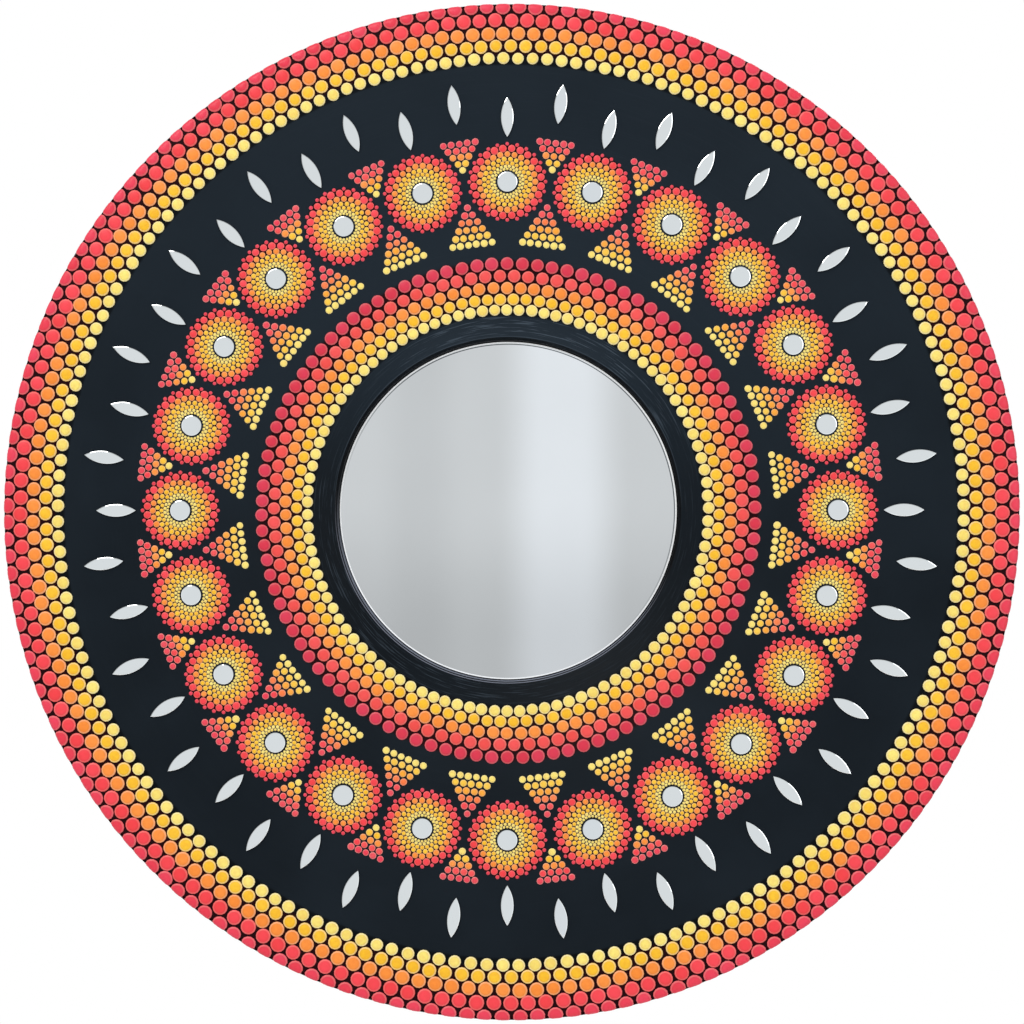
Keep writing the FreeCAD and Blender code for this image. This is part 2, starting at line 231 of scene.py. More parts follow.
class Output:
    """What a node gives. Arithmetic on it puts further nodes in its tree."""

    def __init__(self, socket):
        self.socket = socket
        self.tree = socket.id_data

    __add__, __radd__ = arithmetic("ADD")
    __sub__, __rsub__ = arithmetic("SUBTRACT")
    __mul__, __rmul__ = arithmetic("MULTIPLY")
    __truediv__, __rtruediv__ = arithmetic("DIVIDE")


def fill(socket, value):
    """Links a node's output to a socket, or sets the socket to a plain value."""
    if isinstance(value, Output):
        value.tree.links.new(value.socket, socket)
    elif value is not None:
        socket.default_value = value


def put(kind, *values, tree=None, output=0, sockets=None, **settings):
    """One output of a new node. Values go to its first inputs in their order, and sockets names others."""
    sockets = sockets or {}
    if not tree:
        tree = next(value.tree for value in (*values, *sockets.values()) if isinstance(value, Output))
    node = tree.nodes.new(kind)
    for name, setting in settings.items():
        setattr(node, name, setting)
    for socket, value in zip(node.inputs, values):
        fill(socket, value)
    for name, value in sockets.items():
        fill(node.inputs[name], value)
    return Output(node.outputs[output])


def maths(operation, *values):
    return put("ShaderNodeMath", *values, operation=operation)


def vector(x, y, z):
    return put("ShaderNodeCombineXYZ", x, y, z)


def separated(place):
    """The three coordinates of a place."""
    parts = put("ShaderNodeSeparateXYZ", place).socket.node.outputs
    return [Output(part) for part in parts]


def distance(across, up):
    return maths("SQRT", maths("POWER", across, 2.0) + maths("POWER", up, 2.0))


def ranged(value, low, high, to_low=0.0, to_high=1.0):
    """The value's place between two bounds, smoothed and held at both ends."""
    return put("ShaderNodeMapRange", value, low, high, to_low, to_high, interpolation_type="SMOOTHSTEP")


def between(value, low, high, soft):
    """One between two bounds and zero outside them, with soft ends."""
    return ranged(value, low - soft, low + soft) * ranged(value, high - soft, high + soft, 1.0, 0.0)


def mixed(factor, first, second):
    """A mixture of two colours."""
    return put("ShaderNodeMix", output=2, sockets={0: factor, 6: first, 7: second}, data_type="RGBA")


def random_value(low, high, seed, offset):
    """An even random number for each point, from the tree's seed and an offset of its own."""
    sockets = {2: low, 3: high, "Seed": seed + float(offset)}
    return put("FunctionNodeRandomValue", output=1, sockets=sockets, data_type="FLOAT")


def stored(copies, name, value):
    """The copies with a number kept on each."""
    sockets = {"Geometry": copies, "Name": name, "Value": value}
    return put("GeometryNodeStoreNamedAttribute", sockets=sockets, data_type="FLOAT", domain="INSTANCE")


# Trees of copies


def copied(entry, points, turn, scale=None):
    """Copies of the incoming piece on points."""
    sockets = {"Points": points, "Instance": entry["Geometry"], "Rotation": turn, "Scale": scale}
    return put("GeometryNodeInstanceOnPoints", sockets=sockets)


def finished(entry, copies):
    """Makes copies real and gives them their finish."""
    real = put("GeometryNodeRealizeInstances", copies)
    return put("GeometryNodeSetMaterial", real, sockets={"Material": entry["Finish"]})


def turn_of(entry, copy):
    """The turn of a copy round the mirror's axis."""
    return entry["First Turn"] + TURN * (copy / entry["Copies"])


def dots_on_points(entry, number, across, up, tone, growth=1.0):
    """Sets the incoming dot on each of the points, each with its own size, turn and shade."""
    seed = entry["Seed"]
    spread = entry["Size Spread"]
    stray = entry["Place Spread"] * entry["Diameter"]
    across = across + stray * random_value(-1.0, 1.0, seed, 1)
    up = up + stray * random_value(-1.0, 1.0, seed, 2)
    points = put("GeometryNodePoints", number, vector(across, entry["Level"], up))
    size = entry["Diameter"] * growth * (1.0 + spread * random_value(-1.0, 0.7, seed, 3))
    oval = 1.0 + spread * random_value(-0.7, 0.7, seed, 4)
    turn = vector(0.0, random_value(0.0, TURN, seed, 5), 0.0)
    copies = copied(entry, points, turn, vector(size, entry["Rise"], size * oval))
    shaded = stored(copies, "shade", random_value(0.0, 1.0, seed, 6))
    return finished(entry, stored(shaded, "tone", tone))


def split_index(per_copy):
    """Each point's copy and its number within that copy."""
    index = put("GeometryNodeInputIndex", tree=per_copy.tree)
    copy = maths("FLOOR", (index + 0.5) / per_copy)
    return copy, index - copy * per_copy


def dots_in_rings(entry):
    """Dots in rings: one ring round the mirror's axis, or one round each of several centres."""
    copy, dot = split_index(entry["Dots"])
    centre_turn = turn_of(entry, copy)
    even_turn = centre_turn + TURN * ((dot + entry["Phase"]) / entry["Dots"])
    lean = even_turn - entry["Drift Turn"]
    dot_turn = even_turn - entry["Drift"] * maths("SINE", lean)
    growth = 1.0 - entry["Drift"] * maths("COSINE", lean) * 0.7
    across, up = (
        entry["Centre Radius"] * maths(wave, centre_turn) + entry["Ring Radius"] * maths(wave, dot_turn)
        for wave in ("COSINE", "SINE")
    )
    return dots_on_points(entry, entry["Copies"] * entry["Dots"], across, up, 0.0, growth)


def dots_in_stacks(entry):
    """Dots in three-sided stacks that point along a radius, with one dot at the tip."""
    rows = entry["Rows"]
    per_stack = rows * (rows + 1.0) / 2.0
    copy, dot = split_index(per_stack)
    # Each row has one dot more than the row before it, and starts after all the dots of those rows
    row = maths("FLOOR", (maths("SQRT", 8.0 * dot + 1.01) - 1.0) / 2.0)
    column = dot - row * (row + 1.0) / 2.0 - row / 2.0
    out = entry["Tip Radius"] + row * entry["Row Step"]
    aside = column * entry["Pitch"]
    turn = turn_of(entry, copy)
    cosine, sine = maths("COSINE", turn), maths("SINE", turn)
    across = out * cosine - aside * sine
    up = out * sine + aside * cosine
    return dots_on_points(entry, entry["Copies"] * per_stack, across, up, row / (rows - 1.0))


def copies_round_the_axis(entry):
    """Copies of one piece at even turns round the mirror's axis."""
    points = put("GeometryNodePoints", entry["Copies"])
    turn = turn_of(entry, put("GeometryNodeInputIndex", tree=points.tree)) * -1.0
    return finished(entry, copied(entry, points, vector(0.0, turn, 0.0)))


# What builds each tree, and its inputs besides the geometry. An input is a number unless its kind is given.
COPY_INPUTS = ("Copies", "First Turn", "Finish")
DOT_INPUTS = ("Diameter", "Rise", "Level", "Size Spread", "Place Spread", "Seed", *COPY_INPUTS)
RING_INPUTS = ("Centre Radius", "Ring Radius", "Dots", "Phase", "Drift", "Drift Turn", *DOT_INPUTS)
STACK_INPUTS = ("Tip Radius", "Row Step", "Pitch", "Rows", *DOT_INPUTS)
TREES = {
    "dots_in_rings": (dots_in_rings, RING_INPUTS),
    "dots_in_stacks": (dots_in_stacks, STACK_INPUTS),
    "copies_round_the_axis": (copies_round_the_axis, COPY_INPUTS),
}
INPUT_KINDS = {"Copies": "Int", "Dots": "Int", "Rows": "Int", "Seed": "Int", "Finish": "Material"}


def tree_named(name):
    """One of the trees, built when it's first asked for."""
    if name not in bpy.data.node_groups:
        build, inputs = TREES[name]
        tree = bpy.data.node_groups.new(name, "GeometryNodeTree")
        tree.interface.new_socket("Geometry", in_out="INPUT", socket_type="NodeSocketGeometry")
        tree.interface.new_socket("Geometry", in_out="OUTPUT", socket_type="NodeSocketGeometry")
        for label in inputs:
            kind = "NodeSocket" + INPUT_KINDS.get(label, "Float")
            tree.interface.new_socket(label, in_out="INPUT", socket_type=kind)
        entry = {socket.name: Output(socket) for socket in tree.nodes.new("NodeGroupInput").outputs}
        fill(tree.nodes.new("NodeGroupOutput").inputs[0], build(entry))
    return bpy.data.node_groups[name]


# Meshes


def linked(name, data):
    piece = bpy.data.objects.new(name, data)
    bpy.context.scene.collection.objects.link(piece)
    return piece


def plain_mesh(piece):
    """The mesh that an object's modifiers, or its curve, make."""
    bpy.context.view_layer.update()
    graph = bpy.context.evaluated_depsgraph_get()
    return bpy.data.meshes.new_from_object(
        piece.evaluated_get(graph), preserve_all_data_layers=True, depsgraph=graph
    )


def made_plain(piece):
    """The object with its modifiers worked into its mesh."""
    piece.data = plain_mesh(piece)
    piece.data.name = piece.name
    piece.modifiers.clear()
    return piece


def grown(name, mesh, tree_name, **values):
    """The plain mesh object that a tree makes of a mesh. Inputs are named in lower case."""
    piece = linked(name, mesh)
    modifier = piece.modifiers.new("Copies", "NODES")
    modifier.node_group = tree_named(tree_name)
    for item in modifier.node_group.interface.items_tree:
        key = item.name.lower().replace(" ", "_")
        if item.in_out == "INPUT" and key in values:
            modifier[item.identifier] = values[key]
    return made_plain(piece)


def copied_round(name, mesh, copies, first_turn, finish):
    """Copies of a mesh at even turns round the mirror's axis, as one object."""
    return grown(name, mesh, "copies_round_the_axis", copies=copies, first_turn=first_turn, finish=finish)


def mesh_of(name, shape, sharp_degrees=35, materials=()):
    """The finished mesh of a bmesh, smooth but for its sharp edges, with its faces outwards."""
    bmesh.ops.recalc_face_normals(shape, faces=shape.faces)
    mesh = bpy.data.meshes.new(name)
    shape.to_mesh(mesh)
    shape.free()
    mesh.shade_smooth()
    mesh.set_sharp_from_angle(angle=radians(sharp_degrees))
    for material in materials:
        mesh.materials.append(material)
    return mesh


def join_loops(shape, loops, closed=False, capped=False):
    """Faces from each loop of vertices to the next. A loop of one vertex is a pole."""
    sides = max(len(loop) for loop in loops)
    pairs = list(zip(loops, loops[1:]))
    if closed:
        pairs.append((loops[-1], loops[0]))
    for near, far in pairs:
        near, far = near * (sides // len(near)), far * (sides // len(far))
        for side in range(sides):
            after = (side + 1) % sides
            shape.faces.new(dict.fromkeys((near[side], near[after], far[after], far[side])))
    if capped:
        shape.faces.new(loops[0])
        shape.faces.new(loops[-1])


def lathe(corners, sides, closed=False):
    """A bmesh of (radius, level) corners turned round the Y axis. A closed section has no poles."""
    shape = bmesh.new()
    loops = []
    for radius, level in corners:
        turns = [TURN * side / sides for side in range(sides if radius else 1)]
        loops.append([shape.verts.new((radius * cos(turn), level, radius * sin(turn))) for turn in turns])
    join_loops(shape, loops, closed)
    return shape


def arc(centre, radius, start, end, steps):
    """Points of an arc in a section, from one angle to another in degrees."""
    turns = [radians(start + (end - start) * step / steps) for step in range(steps + 1)]
    return [(centre[0] + radius * cos(turn), centre[1] + radius * sin(turn)) for turn in turns]


def dot_mesh(section, sides):
    """One drop of paint, a unit wide and a unit high, with its reach from the middle kept as an attribute."""
    shape = lathe([(reach / 2, -height) for reach, height in section], sides)
    shape.faces.new(list(shape.verts)[-sides:])
    mesh = mesh_of("dot", shape, sharp_degrees=80)
    reach = mesh.attributes.new("reach", "FLOAT", "POINT")
    for vertex, value in zip(mesh.vertices, reach.data):
        value.value = 2 * hypot(vertex.co.x, vertex.co.z)
    return mesh


def settle(piece, slot, *nodes, body="board"):
    """Sets a finished piece on its body and hides the nodes that it stands for; its slot is not used."""
    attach(piece, body)
    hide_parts(*nodes)


def dress(node, material):
    """Gives a CAD node its finish."""
    mesh = frame["nodes"][node].data
    mesh.materials.clear()
    mesh.materials.append(material)


# Materials


def new_material(name, **values):
    """A material with its shader's sockets set by their names in lower case, and the place on the object."""
    material = bpy.data.materials.new(name)
    material.use_nodes = True
    tree = material.node_tree
    for key, value in values.items():
        socket = key.replace("_", " ").title().replace("Ior", "IOR")
        tree.nodes["Principled BSDF"].inputs[socket].default_value = value
    return material, put("ShaderNodeTexCoord", tree=tree, output="Object")


def surfaced(material, paint, roughness=None, height=None, relief=0.0):
    """The material with the colour, roughness and bump that its nodes work out, and the bump's relief."""
    inputs = material.node_tree.nodes["Principled BSDF"].inputs
    fill(inputs["Base Color"], paint)
    fill(inputs["Roughness"], roughness)
    if height:
        sockets = {"Strength": 1.0, "Distance": relief, "Height": height}
        fill(inputs["Normal"], put("ShaderNodeBump", sockets=sockets))
    return material


def rgba(rgb, factor=1.0):
    return tuple(min(part * factor, 1.0) for part in rgb) + (1.0,)


def attribute(place, name):
    return put("ShaderNodeAttribute", tree=place.tree, output="Fac", attribute_name=name)


def noise(place, scale, detail=2.0, roughness=0.5):
    sockets = {"Vector": place, "Scale": scale, "Detail": detail, "Roughness": roughness}
    return put("ShaderNodeTexNoise", sockets=sockets)


def drawn_up(place, height):
    """The place with its height shrunk, so that a pattern is drawn out upwards."""
    return put("ShaderNodeMapping", place, None, None, (1.0, 1.0, height))


def polar(place):
    """The distance from the mirror's axis, and the cosine and sine of the turn round it."""
    across, _, up = separated(place)
    radius = distance(across, up)
    safe = maths("MAXIMUM", radius, 1e-5)
    return radius, across / safe, up / safe


def strokes(radius, cosine, sine, fineness, run):
    """Noise drawn out round the axis, as a brush or a lathe tool leaves it."""
    return noise(vector(cosine * run, radius * fineness, sine * run), 1.0, 3.0, 0.6)


def roundel_distance(radius, cosine, sine):
    """The distance from the nearest roundel's middle."""
    band = bpy.context.scene.mirror_band
    pitch = TURN / band.roundels
    steps = maths("ARCTAN2", sine, cosine) / pitch
    off = (steps - maths("ROUND", steps)) * pitch
    return distance(radius * maths("COSINE", off) - band.circle_radius, radius * maths("SINE", off))


def ground_paint(name, gloss):
    """Blue-black satin paint: brush strokes round the opening, a dark red ground under the dots that partly
    stands for bounced light, and painted light and shade.
    """
    board = bpy.context.scene.mirror_board
    first_row = bpy.context.scene.mirror_dots.ring_radii[0]
    material, place = new_material(name, specular_ior_level=gloss)
    radius, cosine, sine = polar(place)
    fine = strokes(radius, cosine, sine, 1250.0, 5.0)
    broad = strokes(radius, cosine, sine, 420.0, 3.0)
    cloud = noise(place, 14.0, 3.0)
    grain = noise(place, 900.0)
    plain = mixed(ranged(cloud, 0.3, 0.7), rgba(board.ground, 0.85), rgba(board.ground, 1.15))
    # Painted light: the ground is painted lighter towards the top, and more so nearer the middle
    painted_top_light = ranged(sine, -0.3, 0.9) * ranged(radius, 170 * MM, 240 * MM, 0.75, 0.42)
    plain = mixed(painted_top_light, plain, rgba(board.ground, 2.0))
    near_glass = ranged(radius, first_row - 6 * MM, first_row + 4 * MM, 1.0, 0.03)
    # Painted sheen: a band just round the opening is painted in the glint colour towards the top
    painted_sheen = ranged(radius, first_row - 14 * MM, first_row, 1.0, 0.0) * ranged(sine, 0.68, 1.0) * 0.18
    plain = mixed(painted_sheen, plain, rgba(board.stroke))
    # Painted shade: the ground next to the opening is darkened at its sides and below it
    plain = mixed(near_glass * ranged(sine, 0.0, 0.9, 0.38, 0.0), plain, BLACK)
    # Painted glint: the brush strokes are painted lighter, most strongly at the top where light from above
    # catches them
    glint_streak = ranged(fine, 0.545, 0.65) * near_glass * stroke_glint_strength(cosine, sine)
    strokes_with_glint = mixed(glint_streak, plain, rgba(board.stroke, 1.5))
    # Painted shade: the ground is darkened under and just inside the first row of each band
    row_shaded = mixed(first_row_shade(radius) * 0.75, strokes_with_glint, BLACK)
    under = maths("MINIMUM", dot_grounds(radius, cosine, sine), 1.0)
    level = separated(place)[1]
    front = ranged(level, FACE + board.edge_round, FACE + 2 * board.edge_round, 0.94, 0.0)
    # Dark red under the dots: underpaint, partly painted bounce light from the dots
    red_tinted = mixed(under * front, row_shaded, rgba(board.underpaint))
    paint = bevel_light_and_shade(red_tinted, radius, cosine, sine)
    roughness = ranged(fine * 0.6 + cloud * 0.4, 0.3, 0.7, 0.34, 0.52)
    height = fine * near_glass * 0.9 + broad * near_glass * 0.5 + grain * 0.12
    return surfaced(material, paint, roughness, height, 0.12 * MM)


def stroke_glint_strength(cosine, sine):
    """How strongly the painted glint on the brush strokes shows: most at the top, less at the lower left,
    hardly on the right.
    """
    top = ranged(cosine * 0.26 + sine * 0.97, 0.5, 0.95, 0.0, 0.68)
    lower_left = ranged(cosine * -0.71 + sine * -0.71, 0.3, 0.8, 0.0, 0.2)
    return top + lower_left + 0.1


def first_row_shade(radius):
    """One under the first row of dots of each band and just inside it, where the ground is darkened as
    painted shade.
    """
    dots = bpy.context.scene.mirror_dots
    rows = ((dots.ring_radii[0], dots.ring_sizes[0] / 2), (dots.rim_radii[0], dots.rim_sizes[0] / 2))
    inner, outer = (between(radius, row - 1.05 * reach, row + 1.2 * reach, 0.9 * MM) for row, reach in rows)
    return inner + outer


def dot_grounds(radius, cosine, sine):
    """One under each band of dots and zero on the open ground."""
    dots = bpy.context.scene.mirror_dots
    band = bpy.context.scene.mirror_band
    reach = dots.ring_sizes[0] / 2
    ring = between(radius, dots.ring_radii[0] + 0.5 * reach, dots.ring_radii[-1] + 0.6 * reach, 1.5 * MM)
    rim = between(radius, dots.rim_radii[0] + 0.5 * reach, BOARD_RADIUS + reach, 1.5 * MM)
    near = roundel_distance(radius, cosine, sine)
    return ring + rim + between(near, band.ring_radii[0], band.ring_radii[-1], 1.2 * MM)


def bevel_light_and_shade(ground, radius, cosine, sine):
    """The bevel of the opening in painted light and shade: painted near black, with painted light on its
    ridges low down and a painted highlight on its outer edge high up.
    """
    board = bpy.context.scene.mirror_board
    inner = GLASS_RADIUS + board.opening_gap
    outer = inner + board.opening_bevel
    on_bevel = between(radius, inner - 1.0 * MM, outer, 0.1 * MM)
    # Painted shade: the bevel is darkened towards black all round
    black = mixed(on_bevel * 0.75, ground, BLACK)
    steps = (radius - (inner + 0.1 * MM)) / (board.opening_bevel * 0.68)
    ridges = ranged(maths("COSINE", steps * TURN), -0.3, 0.5)
    # Painted light: the ridges are lighter on the low side, where light from above falls on them
    low = ranged(sine + cosine * 0.25, -0.7, -0.05, 1.0, 0.0)
    lit_ridges = mixed(on_bevel * ridges * low, black, rgba(board.ridge_light))
    # Painted highlight: a light line along the bevel's outer edge, high up
    edge = between(radius, outer + 0.1 * MM, outer + 0.6 * MM, 0.2 * MM)
    return mixed(edge * ranged(sine, -0.1, 0.5) * 0.6, lit_ridges, rgba(board.stroke))


def back_paint():
    """Black paint rolled on the back in upright lanes, with the stipple of the roller and worn spots."""
    board = bpy.context.scene.mirror_board
    material, place = new_material("back_paint", specular_ior_level=0.2)
    stipple = noise(place, 300.0, 3.0, 0.65)
    cloud = noise(place, 9.0, 4.0, 0.6)
    lanes = noise(drawn_up(place, 0.05), 38.0, 3.0, 0.6)
    thin = ranged(lanes * 0.6 + cloud * 0.25 + stipple * 0.15, 0.38, 0.62)
    plain = mixed(thin, rgba(board.back, 0.5), rgba(board.back, 2.1))
    worn = ranged(noise(place, 60.0, 5.0, 0.7), 0.64, 0.74, 0.0, 0.5)
    paint = mixed(worn, plain, (0.060, 0.048, 0.037, 1.0))
    return surfaced(material, paint, ranged(thin, 0.0, 1.0, 0.45, 0.7), stipple + lanes * 0.8, 0.25 * MM)


def panel_paint():
    """The back panel: hardboard under thin black paint, with the mesh print of its rough side."""
    board = bpy.context.scene.mirror_board
    material, place = new_material("panel_paint", specular_ior_level=0.2)
    across, _, up = separated(place)
    mesh_pitch = 2.1 * MM
    weave = maths("SINE", across * (TURN / mesh_pitch)) * maths("SINE", up * (TURN / mesh_pitch))
    cloud = noise(place, 16.0, 4.0, 0.6)
    fibres = noise(place, 700.0, 3.0, 0.7)
    thin = ranged(cloud * 0.45 + fibres * 0.55, 0.46, 0.64)
    paint = mixed(thin * 0.7, rgba(board.back, 0.9), (0.052, 0.036, 0.024, 1.0))
    return surfaced(material, paint, ranged(fibres, 0.3, 0.7, 0.62, 0.8), weave * 0.35 + fibres, 0.12 * MM)


SATIN = {"roughness": 0.40, "specular_ior_level": 0.32}


def dot_paint(name, rgb):
    """Satin acrylic paint of a row of dots, each dot a little lighter or darker."""
    material, place = new_material(name, **SATIN)
    red, green, blue = rgb
    deep = rgba((red * 0.97, green * 0.93, blue * 0.85))
    light = rgba((red * 1.03, green * 1.05 + 0.010, blue * 1.10 + 0.012))
    # The painted highlight on a dot's rim is stronger on paler paints
    return dotted(material, place, mixed(attribute(place, "shade"), deep, light), 0.08 + 0.42 * green)


def graded_paint(name, hues):
    """Satin paint that runs through the named colours from the tip of a stack to its base."""
    material, place = new_material(name, **SATIN)
    graded = put("ShaderNodeValToRGB", attribute(place, "tone"))
    dots = bpy.context.scene.mirror_dots
    elements = graded.socket.node.color_ramp.elements
    while len(elements) < len(hues):
        elements.new(0.5)
    for number, hue in enumerate(hues):
        elements[number].position = number / (len(hues) - 1)
        elements[number].color = rgba(getattr(dots, hue))
    lighter = mixed(0.05, graded, (1.0, 0.9, 0.6, 1.0))
    return dotted(material, place, mixed(attribute(place, "shade"), graded, lighter), 0.2)


def dotted(material, place, body, rim_highlight_strength):
    """A dot's paint of a body colour, with faint mottling, painted shade on its shoulder, a painted highlight
    on its rim and a skin.
    """
    reach = attribute(place, "reach")
    mottle = ranged(noise(place, 420.0), 0.35, 0.7, 0.0, 0.12)
    mottled = mixed(mottle, body, (0.7, 0.06, 0.01, 1.0))
    # Painted shade: the dot darkens towards its edge
    shaded_shoulder = mixed(ranged(reach, 0.4, 0.95, 0.0, 0.09), mottled, BLACK)
    # Painted highlight: a pale line round the dot's rim
    rim = between(reach, 0.80, 0.99, 0.06) * rim_highlight_strength
    paint = mixed(rim, shaded_shoulder, (1.0, 0.93, 0.74, 1.0))
    return surfaced(material, paint, height=noise(place, 1300.0, 1.0), relief=0.05 * MM)


def silver(name, rgb, line=None):
    """Silvered glass. A fine dark line of painted shade may run round it at a radius, strongest at the upper
    right.
    """
    material, place = new_material(name, metallic=1.0)
    haze = noise(place, 25.0, 3.0)
    paint = mixed(ranged(haze, 0.3, 0.7), rgba(rgb, 0.985), rgba(rgb))
    if line:
        radius, cosine, sine = polar(place)
        # Painted shade: a fine dark line round the glass, darkest at the upper right
        inside = between(radius, line - 0.3 * MM, line + 0.3 * MM, 0.15 * MM)
        line_shade_strength = ranged(cosine * 0.45 + sine * 0.9, -0.45, 0.6, 0.0, 0.95)
        paint = mixed(inside * line_shade_strength, paint, (0.10, 0.11, 0.12, 1.0))
    return surfaced(material, paint, ranged(haze, 0.3, 0.7, 0.012, 0.03))


def cut_edge():
    """The cut side of thin glass, dark and faintly green."""
    material, place = new_material("cut_edge", specular_ior_level=0.3)
    chips = noise(place, 1500.0, 2.0, 0.6)
    paint = mixed(chips, (0.006, 0.009, 0.009, 1.0), (0.022, 0.032, 0.030, 1.0))
    return surfaced(material, paint, ranged(chips, 0.3, 0.7, 0.3, 0.5))


def ground_glass():
    """The frosted edge that grinding leaves on the glass, with a painted glow that stands in for the light
    that the glass leads to it.
    """
    # Painted glow: the edge gives off light of its own
    glow = {"emission_color": (0.97, 0.99, 1.0, 1.0), "emission_strength": 0.32}
    material, place = new_material("ground_glass", **glow)
    frost = noise(place, 800.0, 3.0, 0.6)
    paint = mixed(frost, (0.93, 0.95, 0.96, 1.0), WHITE)
    return surfaced(material, paint, ranged(frost, 0.3, 0.7, 0.35, 0.5), frost, 0.04 * MM)


def plated(name, rgb, roughness, scratch=900.0):
    """Plated steel with fine wear and a light orange peel."""
    material, place = new_material(name, metallic=1.0)
    wear = noise(place, 220.0, 4.0, 0.65)
    peel = noise(drawn_up(place, 0.12), scratch)
    paint = mixed(ranged(wear, 0.4, 0.7), rgba(rgb), rgba(rgb, 0.72))
    return surfaced(material, paint, ranged(wear, 0.3, 0.7, roughness, roughness + 0.16), peel, 0.03 * MM)


def pad_foam():
    """Closed-cell foam of the mounting pads."""
    material, place = new_material("pad_foam", roughness=0.9)
    cells = put("ShaderNodeTexVoronoi", place, None, 1400.0, output="Distance")
    paint = mixed(cells, (0.62, 0.62, 0.59, 1.0), (0.8, 0.8, 0.77, 1.0))
    return surfaced(material, paint, height=cells, relief=0.2 * MM)


# Pieces, each kind with the operator that makes it

# Places of two of the board's paints in its list, after the paint of its front
BACK_PAINT = 1
EDGE_PAINT = 2


def bevel_section(board, opening):
    """The bevel's section, with two fine grooves left by the turning tool."""
    run = board.opening_bevel
    deep = board.groove
    half_width = 1.2 * deep
    points = [(opening, FACE + run)]
    for place in (0.33, 0.66):
        out = opening + run * place
        level = FACE + run - run * place
        points.append((out - half_width, level + half_width))
        points.append((out + deep, level + deep))
        points.append((out + half_width, level - half_width))
    points.append((opening + run, FACE))
    return points


class PaintBoard(bpy.types.Operator):
    """Make the painted ring board with its rounded rim and the turned bevel of its opening"""

    bl_idname = "mirror.board"
    bl_label = "Board"

    def execute(self, context):
        board = context.scene.mirror_board
        opening = GLASS_RADIUS + board.opening_gap
        front_centre = (BOARD_RADIUS - board.edge_round, FACE + board.edge_round)
        back_centre = (BOARD_RADIUS - board.back_round, SEAT - board.back_round)
        corners = [(opening, SEAT)]
        corners += bevel_section(board, opening)
        corners += arc(front_centre, board.edge_round, -90, 0, steps=8)
        corners += arc(back_centre, board.back_round, 0, 90, steps=4)
        paints = (ground_paint("ground_paint", 0.05), back_paint(), ground_paint("edge_paint", 0.0))
        shape = lathe(corners, sides=256, closed=True)
        mesh = mesh_of("ring_board_painted", shape, sharp_degrees=50, materials=paints)
        for face in mesh.polygons:
            if face.normal.y > 0.5:
                face.material_index = BACK_PAINT
            elif hypot(face.center.x, face.center.z) > front_centre[0]:
                face.material_index = EDGE_PAINT
        settle(linked("ring_board_painted", mesh), "black_paint", "ring_board")
        return {"FINISHED"}


# Reach and height of a drop's section, from its top to its foot, as shares of its own
BIG_DOT = ((0, 1.0), (0.42, 0.93), (0.7, 0.75), (0.9, 0.45), (1.0, 0.0))
SMALL_DOT = ((0, 1.0), (0.55, 0.92), (0.86, 0.55), (1.0, 0.0))
RIM_COLOURS = ("pale", "amber", "orange", "red", "crimson")
RING_COLOURS = ("pale", "amber", "orange", "coral", "wine")
ROUNDEL_COLOURS = ("pale", "pale", "amber", "amber", "orange", "red", "crimson")
# The first seed of each kind of dots, and how far apart the seeds of two rows lie
SEEDS = {"ring": 11, "rim": 111, "roundel": 211, "stack": 311}
SEED_STEP = 10
# How much more the small dots differ in size than the big ones
SMALL_SPREAD = 1.6


def ring_of_dots(name, drop, settings, prefix, number, **values):
    """A numbered ring of dots, or like rings round several centres, half a dot on in every second ring."""
    radii, sizes, dots = (getattr(settings, prefix + part) for part in ("_radii", "_sizes", "_count"))
    return grown(
        name,
        drop.copy(),
        "dots_in_rings",
        ring_radius=radii[number],
        diameter=sizes[number],
        dots=dots,
        phase=0.5 * (number % 2),
        rise=settings.rise,
        level=FACE,
        place_spread=bpy.context.scene.mirror_dots.place_spread,
        **values,
    )


def bend_over_rim(mesh):
    """Lays what reaches past the flat face over the board's rounded edge and down its side."""
    edge = bpy.context.scene.mirror_board.edge_round
    flat = BOARD_RADIUS - edge
    for vertex in mesh.vertices:
        x, y, z = vertex.co
        reach = hypot(x, z)
        past = max(reach - flat, 0.0)
        turn = min(past / edge, pi / 2)
        lift = (FACE - y) * (1 - 0.5 * min(past / edge, 1.0))
        out = min(reach, flat) + (edge + lift) * sin(turn)
        level = FACE + edge - (edge + lift) * cos(turn) + max(past - edge * pi / 2, 0.0)
        vertex.co = (x * out / reach, level, z * out / reach)


class RowDots(bpy.types.Operator):
    """Set the rows of paint dots round the opening and round the rim"""

    bl_idname = "mirror.row_dots"
    bl_label = "Rows of dots"

    def execute(self, context):
        dots = context.scene.mirror_dots
        drop = dot_mesh(BIG_DOT, sides=14)
        for number, (rim_hue, ring_hue) in enumerate(zip(RIM_COLOURS, RING_COLOURS)):
            ring_node = "ring_dots_" + ("crimson" if ring_hue == "wine" else ring_hue)
            for band, node, hue in (("ring", ring_node, ring_hue), ("rim", "rim_dots_" + rim_hue, rim_hue)):
                piece = ring_of_dots(
                    node + "_painted",
                    drop,
                    dots,
                    band,
                    number,
                    copies=1,
                    drift=getattr(dots, band + "_drift"),
                    drift_turn=getattr(dots, band + "_drift_turn"),
                    size_spread=dots.size_spread,
                    seed=SEEDS[band] + SEED_STEP * number,
                    finish=dot_paint("_".join((band, "paint", hue)), getattr(dots, hue)),
                )
                if node == "rim_dots_crimson":
                    bend_over_rim(piece.data)
                settle(piece, "paint_" + rim_hue, node)
        return {"FINISHED"}


